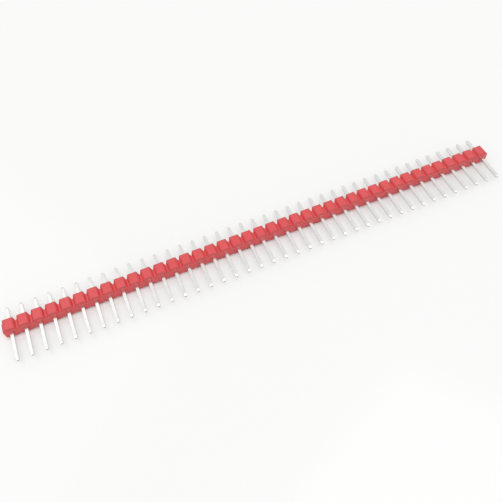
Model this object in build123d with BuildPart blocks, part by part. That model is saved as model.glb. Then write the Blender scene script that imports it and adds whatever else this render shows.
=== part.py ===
from build123d import *

import os

# Single-row breakaway pin header: a grooved insulator strip with square contact pins pressed through it.
# It lies on one broad side, as it comes to rest on a table. X runs along the row, Y along the pins and Z is
# up. The long mating pins point to -Y and the short solder tails to +Y. The origin is on the table, midway
# along the row and midway between the two lines of pin tips. Sizes are in millimetres.

# The row
PIN_COUNT = 40
PITCH = 2.54

# The insulator: its depth is measured along the pins, and its height across them
BODY_DEPTH = 2.54
BODY_HEIGHT = 2.5
LONG_EDGE_RADIUS = 0.25  # the four edges along the row
CORNER_RADIUS = 0.12  # where a groove's or a notch's wall meets a face
GROOVE_DEPTH = 0.42  # the breakaway grooves across both broad sides
GROOVE_WIDTH = 0.8
GROOVE_FLOOR_WIDTH = 0.3
NOTCH_DEPTH = 0.72  # the notches in the board face, each joining a groove on both broad sides
NOTCH_WIDTH = 0.84
NOTCH_FLOOR_WIDTH = 0.14
LEAD_IN = 0.12  # the funnel at each hole's mouth on the board side, where the pin is pressed in
HOLE_CLEARANCE = 0.0  # a press fit: each wall of the hole meets its side of the pin

# The pins: square wire with a blunt four-sided point at each end
PIN_SIDE = 0.64
PIN_EDGE_RADIUS = 0.06
MATING_LENGTH = 5.84  # from the insulator's mating face to the tip
TAIL_LENGTH = 3.05  # from the insulator's board face to the tip
POINT_LENGTH = 0.45
POINT_SIDE = 0.34
POINT_EDGE_RADIUS = 0.04

# Sizes and places that follow
ROW_LENGTH = PIN_COUNT * PITCH
HOLE_SIDE = PIN_SIDE + 2 * HOLE_CLEARANCE
PIN_LENGTH = MATING_LENGTH + BODY_DEPTH + TAIL_LENGTH
MATING_TIP_Y = -PIN_LENGTH / 2
MATING_SHOULDER_Y = MATING_TIP_Y + POINT_LENGTH
TAIL_TIP_Y = PIN_LENGTH / 2
TAIL_SHOULDER_Y = TAIL_TIP_Y - POINT_LENGTH
BOARD_FACE_Y = TAIL_TIP_Y - TAIL_LENGTH
BODY_MIDDLE_Y = BOARD_FACE_Y - BODY_DEPTH / 2
PIN_AXIS_Z = BODY_HEIGHT / 2


def plane_across_pins(y, x=0):
    """The plane across the pins at y, with its origin at x on the line of pin axes and its normal to -Y."""
    return Plane(origin=(x, y, PIN_AXIS_Z), x_dir=(1, 0, 0), z_dir=(0, -1, 0))


def cut_flat_floored(width, floor_width, depth):
    """Cuts a flat-floored groove into the sketch's edge. It is the same on both sides of the edge, so that it
    cuts an upper edge and a lower edge alike."""
    Polygon(
        (-width / 2, 0),
        (-floor_width / 2, depth),
        (floor_width / 2, depth),
        (width / 2, 0),
        (floor_width / 2, -depth),
        (-floor_width / 2, -depth),
        mode=Mode.SUBTRACT,
    )


def is_on_broad_side(vertex):
    """Whether a corner of the insulator's section across the pins lies on one of its broad sides."""
    return abs(vertex.Y) > BODY_HEIGHT / 2 - GROOVE_DEPTH / 2


def is_on_board_face(vertex):
    """Whether a corner of the insulator's outline seen from above lies on its board face."""
    return vertex.Y > BODY_DEPTH / 2 - NOTCH_DEPTH / 2


os.makedirs("parts", exist_ok=True)

# The insulator is one moulding, whose shape is what three outlines have in common. Across the pins it is a
# bar with a groove between each two segments and half a groove at each end. From above it has a notch in
# its board face at each of those places. From the end its four long edges are rounded.
with BuildPart() as insulator_strip:
    with BuildSketch(plane_across_pins(BOARD_FACE_Y)) as section:
        Rectangle(ROW_LENGTH, BODY_HEIGHT)
        with GridLocations(PITCH, BODY_HEIGHT, PIN_COUNT + 1, 2):
            cut_flat_floored(GROOVE_WIDTH, GROOVE_FLOOR_WIDTH, GROOVE_DEPTH)
        fillet(section.vertices().filter_by(is_on_broad_side), CORNER_RADIUS)
        with GridLocations(PITCH, BODY_HEIGHT, PIN_COUNT, 1):
            Rectangle(HOLE_SIDE, HOLE_SIDE, mode=Mode.SUBTRACT)
    extrude(amount=BODY_DEPTH)
    board_face = insulator_strip.faces().filter_by(Axis.Y).sort_by(Axis.Y)[-1]
    hole_mouths = [wire.edges() for wire in board_face.inner_wires()]
    chamfer(hole_mouths, LEAD_IN)
    with BuildSketch(Plane(origin=(0, BODY_MIDDLE_Y, 0))) as outline_from_above:
        Rectangle(ROW_LENGTH, BODY_DEPTH)
        with Locations((0, BODY_DEPTH / 2)):
            with GridLocations(PITCH, BODY_DEPTH, PIN_COUNT + 1, 1):
                cut_flat_floored(NOTCH_WIDTH, NOTCH_FLOOR_WIDTH, NOTCH_DEPTH)
        fillet(outline_from_above.vertices().filter_by(is_on_board_face), CORNER_RADIUS)
    extrude(amount=BODY_HEIGHT, mode=Mode.INTERSECT)
    end_plane = Plane(origin=(-ROW_LENGTH / 2, BODY_MIDDLE_Y, PIN_AXIS_Z), x_dir=(0, 1, 0), z_dir=(1, 0, 0))
    with BuildSketch(end_plane):
        RectangleRounded(BODY_DEPTH, BODY_HEIGHT, LONG_EDGE_RADIUS)
    extrude(amount=ROW_LENGTH, mode=Mode.INTERSECT)

insulator_strip.part.label = "insulator_strip"
export_step(insulator_strip.part, "parts/insulator_strip.step")

# The pins are all alike, and are numbered from the -X end
for number in range(1, PIN_COUNT + 1):
    pin_x = (number - (PIN_COUNT + 1) / 2) * PITCH
    with BuildPart() as pin:
        with BuildSketch(plane_across_pins(TAIL_SHOULDER_Y, pin_x)):
            RectangleRounded(PIN_SIDE, PIN_SIDE, PIN_EDGE_RADIUS)
        extrude(amount=TAIL_SHOULDER_Y - MATING_SHOULDER_Y)
        for shoulder_y, tip_y in ((MATING_SHOULDER_Y, MATING_TIP_Y), (TAIL_SHOULDER_Y, TAIL_TIP_Y)):
            with BuildSketch(plane_across_pins(shoulder_y, pin_x)):
                RectangleRounded(PIN_SIDE, PIN_SIDE, PIN_EDGE_RADIUS)
            with BuildSketch(plane_across_pins(tip_y, pin_x)):
                RectangleRounded(POINT_SIDE, POINT_SIDE, POINT_EDGE_RADIUS)
            loft(ruled=True)
    pin.part.label = f"pin_{number:02d}"
    export_step(pin.part, f"parts/{pin.part.label}.step")
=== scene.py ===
import math

import bmesh
import bpy
import numpy as np
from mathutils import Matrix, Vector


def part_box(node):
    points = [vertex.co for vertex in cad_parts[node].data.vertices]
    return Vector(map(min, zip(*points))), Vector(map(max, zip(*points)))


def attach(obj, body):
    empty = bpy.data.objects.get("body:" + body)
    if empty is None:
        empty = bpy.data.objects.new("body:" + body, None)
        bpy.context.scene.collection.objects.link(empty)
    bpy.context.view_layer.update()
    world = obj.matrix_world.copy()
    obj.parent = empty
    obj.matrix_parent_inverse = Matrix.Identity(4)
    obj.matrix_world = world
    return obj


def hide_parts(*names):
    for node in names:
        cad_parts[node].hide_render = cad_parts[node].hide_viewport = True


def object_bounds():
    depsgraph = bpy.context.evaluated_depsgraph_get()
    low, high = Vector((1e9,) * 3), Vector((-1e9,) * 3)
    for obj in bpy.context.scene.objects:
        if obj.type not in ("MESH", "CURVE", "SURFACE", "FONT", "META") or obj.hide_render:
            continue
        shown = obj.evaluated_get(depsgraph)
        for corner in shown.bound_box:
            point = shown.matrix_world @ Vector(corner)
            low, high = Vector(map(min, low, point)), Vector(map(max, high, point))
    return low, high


# A red single-row pin header lying on a pale glossy table. The insulator and its contact pins are surfaces
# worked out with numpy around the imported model. Everything is in metres, and MM turns millimetres into them.
MM = 0.001

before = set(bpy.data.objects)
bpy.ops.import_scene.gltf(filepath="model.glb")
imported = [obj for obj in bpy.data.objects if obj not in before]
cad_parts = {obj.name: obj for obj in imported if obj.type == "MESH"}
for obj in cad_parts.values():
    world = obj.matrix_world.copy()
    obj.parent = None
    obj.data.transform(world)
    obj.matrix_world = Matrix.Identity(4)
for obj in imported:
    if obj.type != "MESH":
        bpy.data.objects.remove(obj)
cad_low, cad_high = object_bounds()
strip_low, strip_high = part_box("insulator_strip")
pin_boxes = {name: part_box(name) for name in sorted(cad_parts) if name.startswith("pin_")}

# The insulator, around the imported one. The places along the row come from the pins' boxes.
pin_xs = np.array([(low.x + high.x) / 2 for low, high in pin_boxes.values()])
half_pitch = (pin_xs[-1] - pin_xs[0]) / (len(pin_xs) - 1) / 2
half_row = (strip_high.x - strip_low.x) / 2
half_depth = (strip_high.y - strip_low.y) / 2
half_height = (strip_high.z - strip_low.z) / 2
strip_y = (strip_high.y + strip_low.y) / 2
pin_axis_z = (strip_high.z + strip_low.z) / 2
GROOVE_DEPTH = 0.42 * MM
HALF_GROOVE = 0.4 * MM
HALF_GROOVE_FLOOR = 0.15 * MM
NOTCH_DEPTH = 0.72 * MM
HALF_NOTCH = 0.42 * MM
HALF_NOTCH_FLOOR = 0.07 * MM
SHOULDER_RADIUS = 0.12 * MM
ROOT_RADIUS = 0.05 * MM
EDGE_RADIUS = 0.25 * MM  # the long edges of each segment
RIM_RADIUS = 0.06 * MM  # the same edges down in the grooves and notches
END_RADIUS = 0.06 * MM
LEAD_IN = 0.12 * MM
SINK_DEPTH = 0.015 * MM
ARC_STEPS = 4
SUPPORT = 0.02 * MM  # how far beside each rounded edge an extra line of points keeps the flat beside it flat
CLOSEST_SECTIONS = 0.002 * MM
MERGE_DISTANCE = 1e-7
SHARP_ANGLE = math.radians(35)

# The pins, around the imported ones
first_low, first_high = next(iter(pin_boxes.values()))
half_pin = (first_high.x - first_low.x) / 2
PIN_EDGE_RADIUS = 0.06 * MM
POINT_LENGTH = 0.45 * MM
HALF_POINT = 0.17 * MM
POINT_EDGE_RADIUS = 0.04 * MM
CUT_RADIUS = 0.02 * MM


# ------------------------------------------------------------------------------------------------ surfaces


def mesh_piece(name, points, faces, rounded, material):
    """An object at the origin with that mesh, its doubles merged, and smooth except at sharp edges."""
    mesh = bpy.data.meshes.new(name)
    mesh.from_pydata(points, [], faces)
    mesh.attributes.new("rounded", "FLOAT", "POINT").data.foreach_set("value", rounded)
    work = bmesh.new()
    work.from_mesh(mesh)
    bmesh.ops.remove_doubles(work, verts=work.verts, dist=MERGE_DISTANCE)
    bmesh.ops.recalc_face_normals(work, faces=work.faces)
    work.to_mesh(mesh)
    work.free()
    mesh.shade_smooth()
    mesh.set_sharp_from_angle(angle=SHARP_ANGLE)
    mesh.materials.append(material)
    piece = bpy.data.objects.new(name, mesh)
    bpy.context.scene.collection.objects.link(piece)
    return piece


def ring_faces(rings, points_a_ring):
    """Quads between each two rings of a stack of closed rings: an array of ring by point by four corners."""
    ring, point = np.meshgrid(np.arange(rings - 1), np.arange(points_a_ring), indexing="ij")
    after = (point + 1) % points_a_ring
    near, far = ring * points_a_ring, (ring + 1) * points_a_ring
    return np.stack((near + point, far + point, far + after, near + after), -1)


def quarter_arc():
    """Angles from 0 to a quarter turn, in even steps."""
    return np.linspace(0, math.pi / 2, ARC_STEPS + 1)


def wall_slope(half_width, half_floor, depth):
    """The angle a groove's wall makes with the face it is cut into, and the tangent of half that angle, which
    times a corner's radius is how far the corner's rounding reaches along the wall and along the face."""
    angle = math.atan2(depth, half_width - half_floor)
    return angle, math.tan(angle / 2)


def flat_floored_cut(distance, half_width, half_floor, depth):
    """How far a face is cut back at a distance from the middle of a groove: a flat floor, a circle at its
    root, a straight sloping wall, a circle at its shoulder, and nothing beyond."""
    angle, reach = wall_slope(half_width, half_floor, depth)
    floor_end = half_floor - ROOT_RADIUS * reach
    wall_start = floor_end + ROOT_RADIUS * math.sin(angle)
    flat_start = half_width + SHOULDER_RADIUS * reach
    wall_end = flat_start - SHOULDER_RADIUS * math.sin(angle)
    root = depth - ROOT_RADIUS + np.sqrt(np.maximum(ROOT_RADIUS**2 - (distance - floor_end) ** 2, 0))
    wall = (half_width - distance) * math.tan(angle)
    shoulder = SHOULDER_RADIUS - np.sqrt(np.maximum(SHOULDER_RADIUS**2 - (flat_start - distance) ** 2, 0))
    zones = [distance <= floor_end, distance < wall_start, distance < wall_end, distance < flat_start]
    return np.select(zones, [depth, root, wall, shoulder], 0.0)


def cut_stations(half_width, half_floor, depth):
    """The distances from a groove's middle that its rounded root and shoulder need, with one on its wall."""
    angle, reach = wall_slope(half_width, half_floor, depth)
    turns = np.sin(np.linspace(0, angle, ARC_STEPS + 1))
    root = half_floor - ROOT_RADIUS * reach + ROOT_RADIUS * turns[::2]
    shoulder = half_width + SHOULDER_RADIUS * reach - SHOULDER_RADIUS * turns[::-1]
    return np.concatenate((root, [(root[-1] + shoulder[0]) / 2], shoulder))


def stations_along_row():
    """The x of each section of the insulator: close together at the roots and shoulders of the grooves and
    notches, at hole edges and at the two rounded ends, and further apart on the flats."""
    groove = cut_stations(HALF_GROOVE, HALF_GROOVE_FLOOR, GROOVE_DEPTH)
    notch = cut_stations(HALF_NOTCH, HALF_NOTCH_FLOOR, NOTCH_DEPTH)
    mouth = half_pitch - half_pin - LEAD_IN
    flat_start = max(groove[-1], notch[-1])
    flat = np.array([flat_start + SUPPORT, (flat_start + mouth) / 2, mouth, mouth + LEAD_IN, half_pitch])
    beside_groove = np.concatenate(([0], groove, notch, flat))
    grooves = np.append(pin_xs - half_pitch, pin_xs[-1] + half_pitch)
    xs = (grooves[:, None] + np.concatenate((-beside_groove, beside_groove))).ravel()
    ends = half_row - END_RADIUS * (1 - np.sin(quarter_arc()))
    xs = xs[np.abs(xs) < half_row - END_RADIUS - MERGE_DISTANCE]
    xs = np.unique(np.round(np.concatenate((xs, ends, -ends)), 9))
    return xs[np.append(True, np.diff(xs) > CLOSEST_SECTIONS)]


def mirrored(half):
    """A closed section from its first half: the same points again, turned half a turn about the middle."""
    return np.concatenate((half, -half))


def insulator_section():
    """The insulator's section round its middle, starting low on the mating face. Each point's place is
    share * (half size - corner radius) + turn * corner radius + fixed, for y and for z: the columns are y
    share, y turn, z share, z turn and z fixed."""
    mouth = half_pin + LEAD_IN
    rise = np.array([(-1, 0), (-1, SUPPORT), (-0.5, -0.5 * mouth), (0, -mouth), (0, -half_pin), (0, 0)])
    rise = np.concatenate((rise, -rise[-2::-1]))
    run = np.array([-1, -0.97, -0.5, 0, 0.5, 0.97, 1])
    arc = quarter_arc()[1:-1]
    one, none = np.ones(len(arc)), np.zeros(len(arc))
    ones, nones = np.ones(len(rise)), np.zeros(len(rise))
    face = np.column_stack((-ones, -ones, rise[:, 0], nones, rise[:, 1]))
    near_corner = np.column_stack((-one, -np.cos(arc), one, np.sin(arc), none))
    side = np.column_stack((run, 0 * run, np.ones(len(run)), np.ones(len(run)), 0 * run))
    far_corner = np.column_stack((one, np.sin(arc), one, np.cos(arc), none))
    return mirrored(np.concatenate((face, near_corner, side, far_corner)))


def insulator_skin():
    """The moulding's outside: its section carried along the row. The height follows the grooves, the board
    face follows the notches, both draw in round each end, the corners are tighter down in the grooves, and
    each broad side sinks a little in the middle of its flats. Returns rings of points, the faces less the
    holes' mouths, and how rounded each point is, which is 1 on rounded edges."""
    xs, section = stations_along_row(), insulator_section()
    from_groove = np.abs((xs + half_row + half_pitch) % (2 * half_pitch) - half_pitch)
    cut = flat_floored_cut(from_groove, HALF_GROOVE, HALF_GROOVE_FLOOR, GROOVE_DEPTH)
    notch = flat_floored_cut(from_groove, HALF_NOTCH, HALF_NOTCH_FLOOR, NOTCH_DEPTH)
    past = np.maximum(np.abs(xs) - (half_row - END_RADIUS), 0)
    draw_in = END_RADIUS - np.sqrt(np.maximum(END_RADIUS**2 - past**2, 0))
    radius = RIM_RADIUS + (EDGE_RADIUS - RIM_RADIUS) * np.clip(1 - 2 * cut / EDGE_RADIUS, 0, 1)
    middle_y = (-notch / 2)[:, None]
    inner_y = (half_depth - notch / 2 - draw_in - radius)[:, None]
    inner_z = (half_height - cut - draw_in - radius)[:, None]
    radius = radius[:, None]
    y_share, y_turn, z_share, z_turn, z_fixed = section.T
    y = middle_y + y_share * inner_y + y_turn * radius
    z = z_share * inner_z + z_turn * radius + z_fixed
    on_side = (np.abs(z_turn) == 1) & (np.abs(z_share) == 1)
    across = np.clip((from_groove - HALF_NOTCH) / (half_pitch - HALF_NOTCH), 0, 1)[:, None]
    bowl = across**2 * (3 - 2 * across) * (1 - y_share**2)
    z = z - np.sign(z_share) * np.where(on_side, SINK_DEPTH * bowl, 0)
    rings = np.stack((np.broadcast_to(xs[:, None], y.shape), y, z), -1)
    closing = np.array([0, 0.4, 0.8])[:, None, None]
    hubs = np.array([rings[0].mean(0), rings[-1].mean(0)])
    first, last = hubs[0] + (rings[0] - hubs[0]) * closing, hubs[1] + (rings[-1] - hubs[1]) * closing
    rings = np.concatenate((first, rings, last[::-1]))

    # Where the red plastic paints its shade: the rounded long edges, and the groove shoulders beside them.
    on_corner = (np.abs(y_share) == 1) & (np.abs(z_share) == 1) & (z_fixed == 0)
    flat_start = HALF_NOTCH + SHOULDER_RADIUS
    on_shoulder = (from_groove > HALF_GROOVE - SHOULDER_RADIUS / 4) & (from_groove < flat_start)
    rounded = np.maximum(on_corner[None, :] * 1.0, on_shoulder[:, None] * (on_side | on_corner))
    rounded = np.pad(rounded, ((len(closing), len(closing)), (0, 0)))

    faces = ring_faces(len(rings), len(section))
    mid_x = (rings[1:, 0, 0] + rings[:-1, 0, 0]) / 2
    at_pin = np.abs(mid_x[:, None] - pin_xs).min(1) < half_pin + LEAD_IN
    mouth_cells = np.zeros(len(section), bool)
    mouth_cells[3:7] = True  # on the mating face, from the hole's lower edge to its upper edge
    mouth_cells |= np.roll(mouth_cells, len(section) // 2)
    kept = ~(at_pin[:, None] & mouth_cells[None, :])
    return rings.reshape(-1, 3), faces[kept], rounded.ravel()


def hole_walls():
    """Each pin's square hole through the moulding: a square ring carried from the mating face to the board
    face, a hair wider at the first and opening into a funnel at the second."""
    mouth = half_pin + LEAD_IN
    step = half_pin / mouth
    t, one = np.array([-1, -step, 0, step]), np.ones(4)
    square = np.concatenate([np.column_stack(side) for side in ((t, -one), (one, t), (-t, one), (-one, -t))])
    break_edge = 0.25 * LEAD_IN
    sizes = np.array([mouth, half_pin + break_edge, half_pin, half_pin, mouth])
    ys = np.array([-half_depth, -half_depth, -half_depth + break_edge, half_depth - LEAD_IN, half_depth])
    ring = sizes[:, None, None] * square
    walls = np.stack((ring[..., 0], np.broadcast_to(ys[:, None], ring.shape[:2]), ring[..., 1]), -1)
    places = np.column_stack((pin_xs, np.zeros(len(pin_xs)), np.zeros(len(pin_xs))))
    points = walls[None] + places[:, None, None, :]
    faces = ring_faces(len(sizes), len(square)).reshape(-1, 4)
    offsets = np.arange(len(pin_xs)) * len(sizes) * len(square)
    return points.reshape(-1, 3), (faces[None] + offsets[:, None, None]).reshape(-1, 4)


def make_insulator(material):
    """The whole moulding as one closed surface: its skin and its holes' walls, merged where they meet."""
    skin, skin_faces, rounded = insulator_skin()
    walls, wall_faces = hole_walls()
    points = np.concatenate((skin, walls)) + np.array([0, strip_y, pin_axis_z])
    faces = np.concatenate((skin_faces, wall_faces + len(skin)))
    piece = mesh_piece("insulator", points, faces, np.pad(rounded, (0, len(walls))), material)
    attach(piece, "root")
    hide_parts("insulator_strip")
    return piece


def pin_stations(length):
    """Where the pin's sections stand from its mating tip, with their half side and edge radius: a flat cut end
    with a rounded rim, a straight taper out to the shoulder, the shank, and the same again at the tail."""
    arc = quarter_arc()[::-1]
    rim = CUT_RADIUS * (1 - np.sin(arc))
    shoulder = POINT_LENGTH + SUPPORT * np.array([-0.6, 0, 0.6])
    along = np.concatenate((rim, [0.5 * POINT_LENGTH], shoulder, [0.3 * length]))
    taper = np.clip(along / POINT_LENGTH, 0, 1)
    half = HALF_POINT + (half_pin - HALF_POINT) * taper
    half[: len(rim)] -= CUT_RADIUS * (1 - np.cos(arc))
    half[along == POINT_LENGTH] -= 0.1 * SUPPORT
    radius = POINT_EDGE_RADIUS + (PIN_EDGE_RADIUS - POINT_EDGE_RADIUS) * taper
    along = np.concatenate(([0, 0], along))
    half = np.concatenate(([0, half[0] / 2], half))
    radius = np.concatenate(([0, radius[0] / 2], radius))
    return (
        np.concatenate((along, length - along[::-1])),
        np.concatenate((half, half[::-1])),
        np.concatenate((radius, radius[::-1])),
    )


def pin_section():
    """A rounded square in two parts, for one side and its corner, turned three times: its core, to be scaled
    by the half side less the edge radius, and its rounding, to be scaled by the edge radius."""
    run = np.array([-1, -0.88, 0, 0.88, 1])
    arc = quarter_arc()[1:-1]
    core = np.concatenate((np.column_stack((run, -np.ones(len(run)))), np.tile((1.0, -1.0), (len(arc), 1))))
    flat = np.tile((0.0, -1.0), (len(run), 1))
    rounding = np.concatenate((flat, np.column_stack((np.sin(arc), -np.cos(arc)))))
    quarter = np.array([[0, 1], [-1, 0]])
    turns = [np.linalg.matrix_power(quarter, n) for n in range(4)]
    return np.concatenate([core @ turn for turn in turns]), np.concatenate([rounding @ turn for turn in turns])


def make_pin(node, material):
    """One contact pin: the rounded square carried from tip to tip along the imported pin's box."""
    low, high = pin_boxes[node]
    along, half, radius = pin_stations(high.y - low.y)
    core, rounding = pin_section()
    flat = (half - radius)[:, None, None] * core + radius[:, None, None] * rounding
    ys = np.broadcast_to((low.y + along)[:, None], flat.shape[:2])
    middle = np.array([(low.x + high.x) / 2, 0, (low.z + high.z) / 2])
    points = np.stack((flat[..., 0], ys, flat[..., 1]), -1).reshape(-1, 3) + middle
    faces = ring_faces(len(along), len(core)).reshape(-1, 4)
    piece = mesh_piece(node.replace("pin_", "contact_pin_"), points, faces, np.zeros(len(points)), material)
    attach(piece, "root")
    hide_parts(node)
    return piece


# ----------------------------------------------------------------------------------------------- materials


class Value:
    """A number that comes out of a shader node. Sums, products and comparisons of it add Math nodes."""

    def __init__(self, tree, socket):
        self.tree, self.socket = tree, socket

    def math(self, operation, *values):
        return self.tree.node("ShaderNodeMath", {"operation": operation}, dict(enumerate(values)))

    def __add__(self, other):
        return self.math("ADD", self, other)

    def __sub__(self, other):
        return self.math("SUBTRACT", self, other)

    def __rsub__(self, other):
        return self.math("SUBTRACT", other, self)

    def __mul__(self, other):
        return self.math("MULTIPLY", self, other)

    def __truediv__(self, other):
        return self.math("DIVIDE", self, other)

    def __gt__(self, other):
        return self.math("GREATER_THAN", self, other)

    def __abs__(self):
        return self.math("ABSOLUTE", self)

    __radd__, __rmul__ = __add__, __mul__


class Tree:
    """A node tree and the few ways in which this script adds to it."""

    def __init__(self, owner):
        owner.use_nodes = True
        self.tree = owner.node_tree
        self.tree.nodes.clear()

    def node(self, kind, settings=None, inputs=None, output=0):
        """A node of that kind: its settings first, then its sockets' values or links. Gives one output."""
        made = self.tree.nodes.new(kind)
        for name, setting in (settings or {}).items():
            setattr(made, name, setting)
        for name, value in (inputs or {}).items():
            if isinstance(value, Value):
                self.tree.links.new(value.socket, made.inputs[name])
            else:
                made.inputs[name].default_value = value
        return Value(self, made.outputs[output]) if made.outputs else None

    def place(self, stretch=(1, 1, 1)):
        """Object coordinates, multiplied axis by axis."""
        spot = self.node("ShaderNodeTexCoord", output="Object")
        inputs = {0: spot, 1: stretch}
        return self.node("ShaderNodeVectorMath", {"operation": "MULTIPLY"}, inputs)

    def noise(self, size, detail=2.0, stretch=(1, 1, 1)):
        """Soft noise from 0 to 1 whose features are about that size."""
        inputs = {"Vector": self.place(stretch), "Scale": 1 / size, "Detail": detail, "Roughness": 0.55}
        return self.node("ShaderNodeTexNoise", {"noise_dimensions": "3D"}, inputs)

    def mix(self, share, first, second):
        """A colour between two others."""
        inputs = {0: share, 6: first, 7: second}
        return self.node("ShaderNodeMix", {"data_type": "RGBA"}, inputs, output=2)

    def end(self, kind, surface):
        self.node(kind, inputs={"Surface": surface})


def colour(red, green, blue):
    return (red, green, blue, 1.0)


def moulded_red():
    """Red moulded plastic: a fine spark-eroded grain, faint cloudy flow, and painted shade, a darker red on
    rounded edges and groove shoulders.
    """
    material = bpy.data.materials.new("moulded_red_plastic")
    tree = Tree(material)
    flow = tree.noise(1.6 * MM, 3.0)
    grain = tree.noise(0.09 * MM, 4.0)
    # Painted shade: on the rounded edges and groove shoulders the red is mixed towards a dark red.
    edge = tree.node("ShaderNodeAttribute", {"attribute_name": "rounded"}, output="Fac")
    body = tree.mix(flow, colour(0.65, 0.038, 0.044), colour(0.76, 0.06, 0.064))
    body_with_painted_shade = tree.mix(edge * 0.6, body, colour(0.40, 0.025, 0.03))
    bump = tree.node("ShaderNodeBump", inputs={"Strength": 0.35, "Distance": 0.006 * MM, "Height": grain})
    inputs = {
        "Base Color": body_with_painted_shade,
        "Roughness": 0.28 + 0.16 * grain + 0.08 * edge,
        "Normal": bump,
        "IOR": 1.7,
    }
    surface = tree.node("ShaderNodeBsdfPrincipled", inputs=inputs)
    tree.end("ShaderNodeOutputMaterial", surface)
    return material


def bright_tin():
    """Tin plating over drawn wire: streaks along the wire, a slightly cloudy bloom, and duller sheared ends."""
    material = bpy.data.materials.new("bright_tin_plating")
    tree = Tree(material)
    streaks = tree.noise(0.05 * MM, 3.0, stretch=(1, 0.03, 1))
    bloom = tree.noise(0.7 * MM, 3.0)
    spot = tree.node("ShaderNodeTexCoord", output="Object")
    y = tree.node("ShaderNodeSeparateXYZ", inputs={0: spot}, output="Y")
    sheared = abs(y) > cad_high.y - 0.4 * CUT_RADIUS
    plate = tree.mix(bloom, colour(0.67, 0.67, 0.655), colour(0.80, 0.80, 0.785))
    bump = tree.node("ShaderNodeBump", inputs={"Strength": 0.25, "Distance": 0.003 * MM, "Height": streaks})
    inputs = {
        "Base Color": tree.mix(sheared, plate, colour(0.42, 0.41, 0.40)),
        "Roughness": 0.13 + 0.12 * streaks + 0.08 * bloom + 0.22 * sheared,
        "Normal": bump,
        "Metallic": 1.0,
    }
    surface = tree.node("ShaderNodeBsdfPrincipled", inputs=inputs)
    tree.end("ShaderNodeOutputMaterial", surface)
    return material


def seen_directly(tree):
    """1 for what the camera sees, itself or in metal or through glass, and 0 for the light that falls."""
    kinds = ("Camera", "Glossy", "Transmission")
    camera, glossy, through = [tree.node("ShaderNodeLightPath", output=f"Is {kind} Ray") for kind in kinds]
    return camera.math("MAXIMUM", camera, camera.math("MAXIMUM", glossy, through))


def pale_table():
    """A glossy off-white table. Part of what shows is plain white, which keeps its shadows faint, but not
    under the insulator, where the table is as dark as the strip makes it."""
    material = bpy.data.materials.new("pale_table")
    tree = Tree(material)
    spot = tree.node("ShaderNodeTexCoord", output="Object")
    x, y = [tree.node("ShaderNodeSeparateXYZ", inputs={0: spot}, output=axis) for axis in "XY"]
    past_end, past_side = abs(x) - half_row, abs(y - strip_y) - half_depth
    outside = past_side.math("MAXIMUM", past_end, past_side) / CONTACT_REACH
    clear = tree.node("ShaderNodeClamp", inputs={"Value": outside})
    inputs = {"Base Color": colour(0.90, 0.90, 0.895), "Roughness": TABLE_ROUGHNESS, "IOR": 1.7}
    lit = tree.node("ShaderNodeBsdfPrincipled", inputs=inputs)
    plain = tree.node("ShaderNodeEmission", inputs={"Color": colour(0.97, 0.97, 0.965), "Strength": 1.0})
    inputs = {0: seen_directly(tree) * clear * TABLE_WHITE_SHARE, 1: lit, 2: plain}
    tree.end("ShaderNodeOutputMaterial", tree.node("ShaderNodeMixShader", inputs=inputs))
    return material


# ------------------------------------------------------------------------------------------------ the stage

TABLE_HALF_SIDE = 1.5
TABLE_ROUGHNESS = 0.14
TABLE_WHITE_SHARE = 0.4
CONTACT_REACH = 0.5 * MM
SKY_LEVEL = 0.8
KEY_PLACE = (-0.23, 0.25, 0.37)
KEY_SIDE = 0.34
KEY_RADIANCE = 0.4
OVERHEAD_PLACE = (0.14, -0.3, 0.8)
OVERHEAD_SIDE = 0.9
OVERHEAD_RADIANCE = 0.9
SENSOR = 36.0
LENS = 39.3992


def make_table(material):
    """A flat square under the strip."""
    corner = TABLE_HALF_SIDE * np.array([(-1, -1, 0), (1, -1, 0), (1, 1, 0), (-1, 1, 0)])
    points = corner + np.array([0, 0, cad_low.z])
    table = mesh_piece("table", points, [(0, 1, 2, 3)], np.zeros(4), material)


def soft_box(name, place, side, radiance):
    """A square lamp that faces the strip, as bright as a white wall lit to that level all over."""
    lamp = bpy.data.lights.new(name, "AREA")
    lamp.shape = "SQUARE"
    lamp.size = side
    lamp.energy = radiance * math.pi * side**2
    box = bpy.data.objects.new(name, lamp)
    box.location = place
    box.rotation_euler = (-box.location).to_track_quat("-Z", "Y").to_euler()
    bpy.context.scene.collection.objects.link(box)


def make_lights():
    """A soft lamp behind the strip to the left, a wide one above and in front, and an even white sky."""
    soft_box("soft_box_left", KEY_PLACE, KEY_SIDE, KEY_RADIANCE)
    soft_box("soft_box_overhead", OVERHEAD_PLACE, OVERHEAD_SIDE, OVERHEAD_RADIANCE)
    world = bpy.data.worlds.new("white_sky")
    bpy.context.scene.world = world
    tree = Tree(world)
    level = SKY_LEVEL + (1 - SKY_LEVEL) * seen_directly(tree)
    sky = tree.node("ShaderNodeBackground", inputs={"Color": colour(1, 1, 1), "Strength": level})
    tree.end("ShaderNodeOutputWorld", sky)


def make_camera():
    """Looks down on the strip from the mating side, a little towards the first pin."""
    camera = bpy.data.cameras.new("camera")
    camera.sensor_width = SENSOR
    camera.lens = LENS
    camera.shift_x, camera.shift_y = -0.067, 0.061
    camera.clip_start, camera.clip_end = 0.005, 10
    holder = bpy.data.objects.new("camera", camera)
    holder.location = (-21.9 * MM, -59.7 * MM, 88.2 * MM)
    holder.rotation_euler = [math.radians(turn) for turn in (31.55, 0.95, -24.23)]
    bpy.context.scene.collection.objects.link(holder)
    bpy.context.scene.camera = holder


red = moulded_red()
tin = bright_tin()
make_insulator(red)
for node in pin_boxes:
    make_pin(node, tin)
make_table(pale_table())
make_lights()
make_camera()
bpy.context.scene.view_settings.view_transform = "Standard"
